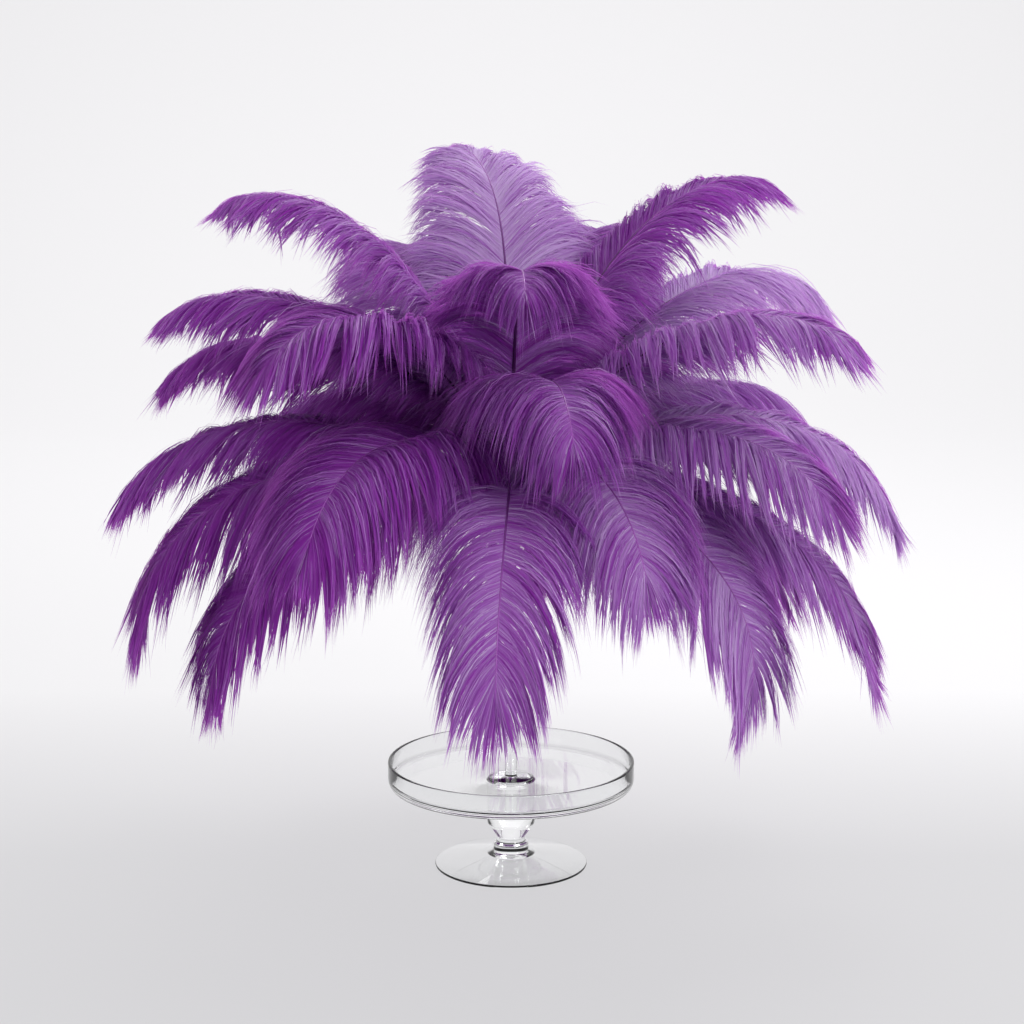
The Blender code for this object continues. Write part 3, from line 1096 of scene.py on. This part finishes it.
@dataclass(frozen=True)
class QuillMaker:
    """The round, tapered quill of a plume."""

    sides: int = 8
    rings: int = 28
    root_radius: float = 2.1 * MM
    tip_radius: float = 0.45 * MM
    taper_power: float = 0.8
    root_depth: float = 11.0 * MM
    end_share: float = 0.93

    def mesh(self, name: str, curve: QuillCurve) -> bpy.types.Mesh:
        """Bend a round tapered bar along the quill.

        Args:
            name: The mesh's name.
            curve: The plume's quill.

        Returns:
            A closed mesh from the root in the ball to the quill's fine end.
        """
        rows = curve.at(np.linspace(0.0, self.end_share, self.rings))
        taper = np.linspace(0.0, 1.0, self.rings) ** self.taper_power
        radii = self.root_radius + (self.tip_radius - self.root_radius) * taper
        frames = [self._frame(rows, index, radii[index]) for index in range(self.rings)]
        inward = Matrix.Translation(Vector(-self.root_depth * rows.ahead[0]))
        frames.insert(0, inward @ frames[0])

        shape = bmesh.new()
        bmesh.ops.create_circle(shape, cap_ends=True, segments=self.sides, radius=1.0)
        face = next(iter(shape.faces))
        bmesh.ops.transform(shape, matrix=frames[0], verts=face.verts)
        for before, after in zip(frames, frames[1:]):
            grown = bmesh.ops.extrude_face_region(shape, geom=[face])["geom"]
            face = next(part for part in grown if isinstance(part, bmesh.types.BMFace))
            bmesh.ops.transform(shape, matrix=after @ before.inverted(), verts=face.verts)
        bmesh.ops.recalc_face_normals(shape, faces=shape.faces)
        mesh = finished_mesh(name, shape, QUILL_SHARP_ANGLE)
        places = np.array([vertex.co for vertex in mesh.vertices])
        store_values(mesh, "along", curve.nearest(places))
        return mesh

    @staticmethod
    def _frame(rows: Placed, index: int, radius: float) -> Matrix:
        """Place one ring of the quill.

        Args:
            rows: Places and directions along the quill.
            index: Which of them.
            radius: The ring's radius.

        Returns:
            Matrix that carries the unit circle to the ring.
        """
        axes = [radius * direction[index] for direction in (rows.side, rows.above, rows.ahead)]
        columns = [(*axis, 0.0) for axis in axes] + [(*rows.point[index], 1.0)]
        return Matrix(columns).transposed()


@dataclass
class PlumeDome:
    """Every plume of the dome, each as its barbs and its quill."""

    seed: int = 41
    coat: BarbCoat = BarbCoat()
    quill: QuillMaker = QuillMaker()

    def build(self) -> None:
        """Grow and dress every plume round the foam ball."""
        low, high = (np.array(corner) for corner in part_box("foam_ball"))
        centre, radius = (low + high) / 2, (high[2] - low[2]) / 2
        barb_material = BarbDyeAndPaintedLightFinish().material()
        quill_material = QuillFinish().material()
        for index, plume in enumerate(PLUMES):
            curve = QuillCurve(plume, centre, radius)
            rng = np.random.default_rng(self.seed + index)
            barbs = self.coat.mesh(f"{plume.name}_barbs", curve, rng)
            add_piece(barbs.name, barbs, barb_material, [plume.name])
            quill = self.quill.mesh(f"{plume.name}_quill", curve)
            add_piece(quill.name, quill, quill_material, [plume.name])


# ---------------------------------------------------------------- ball and glass


@dataclass
class FoamBall:
    """Ball of cut foam that the quills are pushed into."""

    subdivisions: int = 5
    roughness: float = 0.35 * MM
    seed: int = 7

    def build(self) -> None:
        """Make the ball, with its surface slightly uneven."""
        low, high = (Vector(corner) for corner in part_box("foam_ball"))
        radius = (high.z - low.z) / 2 - self.roughness
        shape = bmesh.new()
        place = Matrix.Translation((low + high) / 2)
        bmesh.ops.create_icosphere(shape, subdivisions=self.subdivisions, radius=radius, matrix=place)
        rng = np.random.default_rng(self.seed)
        for vertex in shape.verts:
            outward = (vertex.co - place.translation).normalized()
            vertex.co += outward * self.roughness * float(rng.uniform(-1.0, 1.0))
        mesh = finished_mesh("foam_ball_surface", shape)
        add_piece(mesh.name, mesh, FoamFinish().material(), ["foam_ball"])


def filleted(corners: Sequence[Corner], steps: int = 6) -> Profile:
    """Round the corners of a turned profile.

    Args:
        corners: Radius from the axis, height and fillet radius of each corner, in millimetres.
        steps: Straight steps round each fillet.

    Returns:
        Pairs of radius and height, in metres.
    """
    points: Profile = []
    for index, (x, y, fillet) in enumerate(corners):
        corner = np.array([x, y])
        if not fillet:
            points.append((x * MM, y * MM))
            continue
        before = np.array(corners[index - 1][:2]) - corner
        after = np.array(corners[index + 1][:2]) - corner
        arms = [arm / np.linalg.norm(arm) for arm in (before, after)]
        half = math.acos(float(np.clip(arms[0] @ arms[1], -1.0, 1.0))) / 2
        reach = min(fillet / math.tan(half), *(0.5 * np.linalg.norm(arm) for arm in (before, after)))
        first, last = corner + reach * arms[0], corner + reach * arms[1]
        for step in range(steps + 1):
            t = step / steps
            point = (1 - t) ** 2 * first + 2 * t * (1 - t) * corner + t * t * last
            points.append((float(point[0]) * MM, float(point[1]) * MM))
    return points


@dataclass
class CakeStand:
    """Pressed glass stand: a dish with an upright wall, a thick stem, a collar and a broad foot."""

    steps: int = 128
    # From the middle of the dish, over the rim and down the outside: radius, height, fillet in mm
    # The lip of the foot has its corner below the table, so that the fillet touches the table
    corners: tuple[Corner, ...] = (
        (0.0, 91.0, 0.0),
        (121.2, 91.0, 4.0),
        (121.6, 110.0, 1.6),
        (125.0, 110.0, 1.6),
        (125.0, 84.5, 7.5),
        (24.2, 84.5, 1.2),
        (24.2, 44.0, 7.0),
        (13.6, 28.5, 4.0),
        (15.0, 24.4, 1.5),
        (17.8, 22.8, 2.0),
        (17.8, 14.6, 1.2),
        (26.0, 12.4, 6.0),
        (77.5, 2.2, 1.0),
        (77.5, -0.24, 1.1),
        (24.0, 10.6, 6.0),
        (0.0, 11.5, 0.0),
    )

    def build(self) -> None:
        """Spin the stand and dress it."""
        mesh = spun_mesh("glass_cake_stand_surface", filleted(self.corners), self.steps)
        add_piece(mesh.name, mesh, ClearGlassFinish().material(), ["glass_cake_stand"])


@dataclass
class TrumpetVase:
    """Slim clear vase, in mm: a round foot, a solid stem and a hollow trumpet under the ball."""

    steps: int = 72
    foot_radius: float = 23.0
    foot_height: float = 1.0
    foot_fillet: float = 0.45
    stem_radius: float = 6.0
    stem_top: float = 185.0
    stem_fillets: Span = (8.0, 0.8)
    wall: float = 2.5
    hollow_floor: float = 200.0
    hollow_radius: float = 6.0
    hollow_fillet: float = 3.0
    mouth_radius: float = 29.0
    mouth_fillet: float = 0.9
    trumpet_points: int = 18
    trumpet_power: float = 2.0

    def build(self) -> None:
        """Spin the vase on the dish and dress it."""
        low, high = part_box("glass_vase")
        top = (high[2] - low[2]) / MM
        profile = [(r, z + low[2]) for r, z in filleted(self._corners(top))]
        mesh = spun_mesh("glass_vase_surface", profile, self.steps)
        add_piece(mesh.name, mesh, ClearGlassFinish().material(), ["glass_vase"])

    def _corners(self, top: float) -> list[Corner]:
        """Lay out the section of the vase.

        Args:
            top: Height of its mouth, in millimetres.

        Returns:
            The corners, from the hollow's floor over the mouth and down to the foot.
        """
        heights = np.linspace(self.hollow_floor, top, self.trumpet_points)
        opening = ((heights - self.hollow_floor) / (top - self.hollow_floor)) ** self.trumpet_power
        radii = self.hollow_radius + (self.mouth_radius - self.hollow_radius) * opening
        inside = [(float(r), float(z), 0.0) for r, z in zip(radii, heights)]
        outside = [(r + self.wall, z, 0.0) for r, z, _ in reversed(inside)]
        inside[-1] = (*inside[-1][:2], self.mouth_fillet)
        outside[0] = (*outside[0][:2], self.mouth_fillet)
        inside[0] = (*inside[0][:2], self.hollow_fillet)
        stem_ends = zip((self.stem_top, self.foot_height), self.stem_fillets)
        stem = [(self.stem_radius, height, fillet) for height, fillet in stem_ends]
        foot = [(self.foot_radius, height, self.foot_fillet) for height in (self.foot_height, 0.0)]
        return [(0.0, self.hollow_floor, 0.0), *inside, *outside, *stem, *foot, (0.0, 0.0, 0.0)]


# ---------------------------------------------------------------- studio


@dataclass
class SoftBox:
    """One square studio light and the point that it is turned to."""

    name: str
    place: Point
    aim: Point
    size: float
    power: float

    def build(self) -> None:
        """Hang the light and aim it."""
        data = bpy.data.lights.new(self.name, "AREA")
        data.shape = "SQUARE"
        data.size = self.size
        data.energy = self.power
        lamp = bpy.data.objects.new(self.name, data)
        lamp.location = self.place
        lamp.rotation_euler = (Vector(self.aim) - lamp.location).to_track_quat("-Z", "Y").to_euler()
        bpy.context.scene.collection.objects.link(lamp)


@dataclass
class Studio:
    """Pale paper sweep, soft lights and the camera at the photograph's viewing angle."""

    paper_half_width: float = 4.5
    paper_front: float = -4.5
    bend_start: float = 2.7
    bend_radius: float = 1.0
    bend_steps: int = 24
    paper_height: float = 3.6
    paper_gap: float = 0.5 * MM
    air: float = 0.56
    camera_place: Point = (0.001, -2.35, 0.812)
    camera_tilt: float = -10.75
    sensor_width: float = 36.0
    focal_pixels: float = 2400.0
    frame_pixels: float = 1024.0
    lights: tuple[SoftBox, ...] = (
        SoftBox("key_light", (1.5, -2.3, 1.4), (0.0, 0.0, 0.42), 1.3, 43.0),
        SoftBox("fill_light", (-1.6, -2.4, 0.8), (0.0, 0.0, 0.30), 1.8, 9.0),
        SoftBox("back_light", (0.8, 1.1, 1.9), (0.0, 0.0, 0.45), 1.0, 17.0),
        SoftBox("paper_light", (0.0, 2.2, 3.0), (0.0, 2.9, 0.3), 2.4, 62.0),
    )

    def build(self) -> None:
        """Lay the paper, hang the lights, fill the air with light and place the camera."""
        self._lay_paper()
        for light in self.lights:
            light.build()
        self._fill_air()
        self._place_camera()

    def _lay_paper(self) -> None:
        """One sheet of paper that runs under the object and curves up behind it."""
        radius = self.bend_radius
        angles = [math.pi / 2 * step / self.bend_steps for step in range(self.bend_steps + 1)]
        bend = [(self.bend_start + radius * math.sin(a), radius - radius * math.cos(a)) for a in angles]
        top = (self.bend_start + radius, self.paper_height)
        route = [(self.paper_front, 0.0), *bend, top]
        shape = bmesh.new()
        edge = [shape.verts.new((-self.paper_half_width, y, z)) for y, z in route]
        edges = [shape.edges.new(pair) for pair in zip(edge, edge[1:])]
        grown = bmesh.ops.extrude_edge_only(shape, edges=edges)["geom"]
        verts = [part for part in grown if isinstance(part, bmesh.types.BMVert)]
        bmesh.ops.translate(shape, verts=verts, vec=(2 * self.paper_half_width, 0.0, 0.0))
        bmesh.ops.translate(shape, verts=shape.verts, vec=(0.0, 0.0, -self.paper_gap))
        bmesh.ops.recalc_face_normals(shape, faces=shape.faces)
        mesh = finished_mesh("studio_paper", shape)
        mesh.materials.append(StudioPaperFinish().material())
        paper = bpy.data.objects.new("studio_paper", mesh)
        bpy.context.scene.collection.objects.link(paper)

    def _fill_air(self) -> None:
        """Even pale light from all round."""
        world = bpy.data.worlds.new("studio_air")
        world.use_nodes = True
        background = world.node_tree.nodes["Background"]
        background.inputs["Color"].default_value = (1.0, 1.0, 1.0, 1.0)
        background.inputs["Strength"].default_value = self.air
        bpy.context.scene.world = world
        bpy.context.scene.view_settings.view_transform = "Standard"

    def _place_camera(self) -> None:
        """Camera at the photograph's distance, height and field of view."""
        data = bpy.data.cameras.new("camera")
        data.sensor_width = self.sensor_width
        data.lens = self.sensor_width * self.focal_pixels / self.frame_pixels
        camera = bpy.data.objects.new("camera", data)
        camera.location = self.camera_place
        camera.rotation_euler = (math.radians(90.0 + self.camera_tilt), 0.0, 0.0)
        bpy.context.scene.collection.objects.link(camera)
        bpy.context.scene.camera = camera


# ---------------------------------------------------------------- main


def main() -> None:
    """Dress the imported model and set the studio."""
    logging.basicConfig(level=logging.INFO, format="%(message)s")
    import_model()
    for assembly in (CakeStand(), TrumpetVase(), FoamBall(), PlumeDome()):
        assembly.build()
    Studio().build()


if __name__ == "__main__":
    main()
